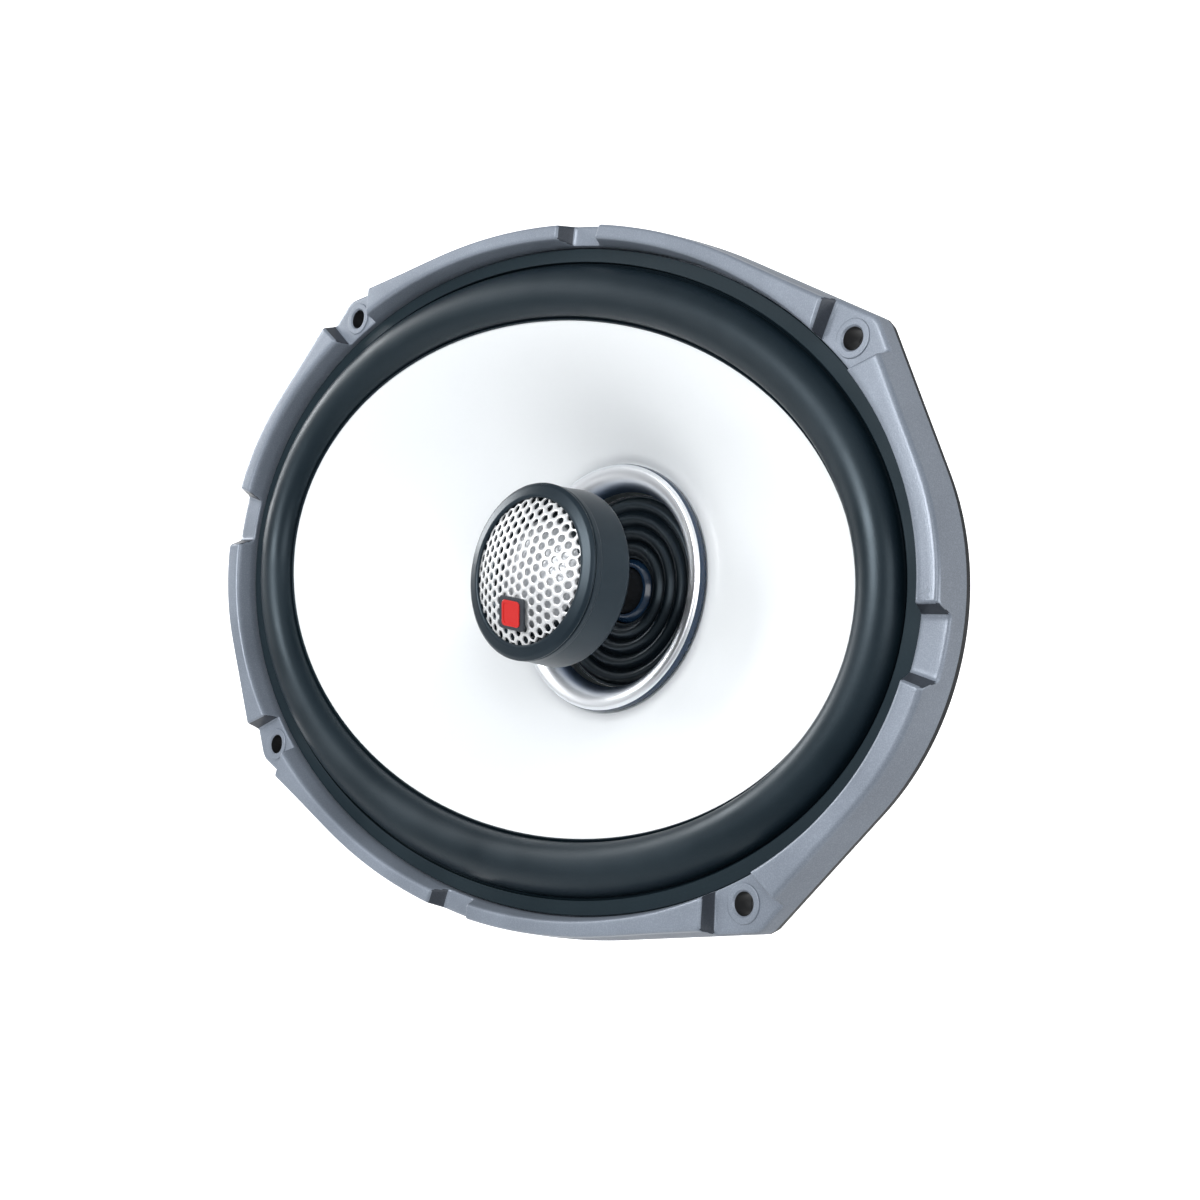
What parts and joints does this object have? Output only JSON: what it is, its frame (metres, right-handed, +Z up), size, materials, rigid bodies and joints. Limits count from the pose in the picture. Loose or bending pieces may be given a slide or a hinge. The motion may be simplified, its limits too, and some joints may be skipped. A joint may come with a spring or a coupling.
{
  "type": "coaxial car speaker",
  "caption": "Oval car speaker: white cone, rubber surround, chrome trim ring and a post-mounted dome tweeter with perforated guard, in a satin metallic mounting rim.",
  "frame": {"origin": "on the speaker's axis, in the rear plane of the mounting flange, where it meets the panel", "axes": "+X along the long axis to the right seen from the front, +Y backwards into the panel, +Z up; the front faces -Y"},
  "size_m": [0.2364, 0.0929, 0.1624],
  "materials": {
    "rim_paint": "satin metallic blue-grey",
    "black_steel": "black powder coat",
    "gasket_rubber": "matt dark slate",
    "surround_rubber": "soft satin",
    "amber_cloth": "resin-dipped weave",
    "white_cone": "satin white mica polypropylene",
    "chrome_trim": "polished",
    "black_cloth": "coated pleated cloth",
    "former_film": "amber film",
    "copper_wire": "enamelled copper winding",
    "zinc_steel": "bright zinc plate",
    "ferrite": "ground ferrite",
    "silver_label": "plain silver film",
    "gloss_black": "gloss",
    "cable_sheath": "satin sheath",
    "black_plastic": "fine-grained matt",
    "silver_mesh": "satin painted perforated sheet",
    "badge_dark": "satin",
    "red_inlay": "gloss enamel",
    "silver_dome": "vapour-coated film",
    "tin_plate": "tin plate",
    "capacitor_sleeve": "shrink sleeve",
    "braided_copper": "braided copper tinsel"
  },
  "bodies": {
    "frame_body": {"mounting_rim": "rim_paint", "basket": "black_steel", "surround_gasket": "gasket_rubber", "cone_surround": "surround_rubber", "spider": "amber_cloth", "dust_seal": "black_cloth", "top_plate": "zinc_steel", "ring_magnet": "ferrite", "back_plate_pole": "zinc_steel", "rear_label": "silver_label", "tweeter_post": "black_steel", "seal_collar": "gloss_black", "post_nut": "zinc_steel", "tweeter_cable": "cable_sheath", "tweeter_cup": "black_plastic", "tweeter_bezel": "black_plastic", "tweeter_mesh": "silver_mesh", "badge_plate": "badge_dark", "badge_inlay": "red_inlay", "tweeter_face_plate": "black_plastic", "tweeter_dome_surround": "black_cloth", "tweeter_yoke": "zinc_steel", "tweeter_magnet": "ferrite", "tweeter_pole_disc": "zinc_steel", "terminal_block": "black_plastic", "positive_tab": "tin_plate", "negative_tab": "tin_plate", "terminal_rivet_left": "zinc_steel", "terminal_rivet_right": "zinc_steel", "crossover_capacitor": "capacitor_sleeve", "tinsel_lead_positive": "braided_copper", "tinsel_lead_negative": "braided_copper", "motor_rivet_1": "zinc_steel", "motor_rivet_2": "zinc_steel", "motor_rivet_3": "zinc_steel", "motor_rivet_4": "zinc_steel"},
    "cone_body": {"cone": "white_cone", "cone_trim_ring": "chrome_trim", "coil_former": "former_film", "voice_coil": "copper_wire"},
    "tweeter_diaphragm": {"tweeter_dome": "silver_dome", "tweeter_coil": "copper_wire"}
  },
  "joints": [
    {"name": "cone_travel", "type": "slide", "parent": "frame_body", "child": "cone_body", "axis": [0, -1, 0], "range_m": [-0.004, 0.004], "stiffness_N_per_m": 2800, "deforming": ["cone_surround", "spider", "dust_seal", "tinsel_lead_positive", "tinsel_lead_negative"]},
    {"name": "tweeter_dome_travel", "type": "slide", "parent": "frame_body", "child": "tweeter_diaphragm", "axis": [0, -1, 0], "range_m": [-0.00025, 0.00025], "stiffness_N_per_m": 3000, "deforming": ["tweeter_dome_surround"]}
  ]
}
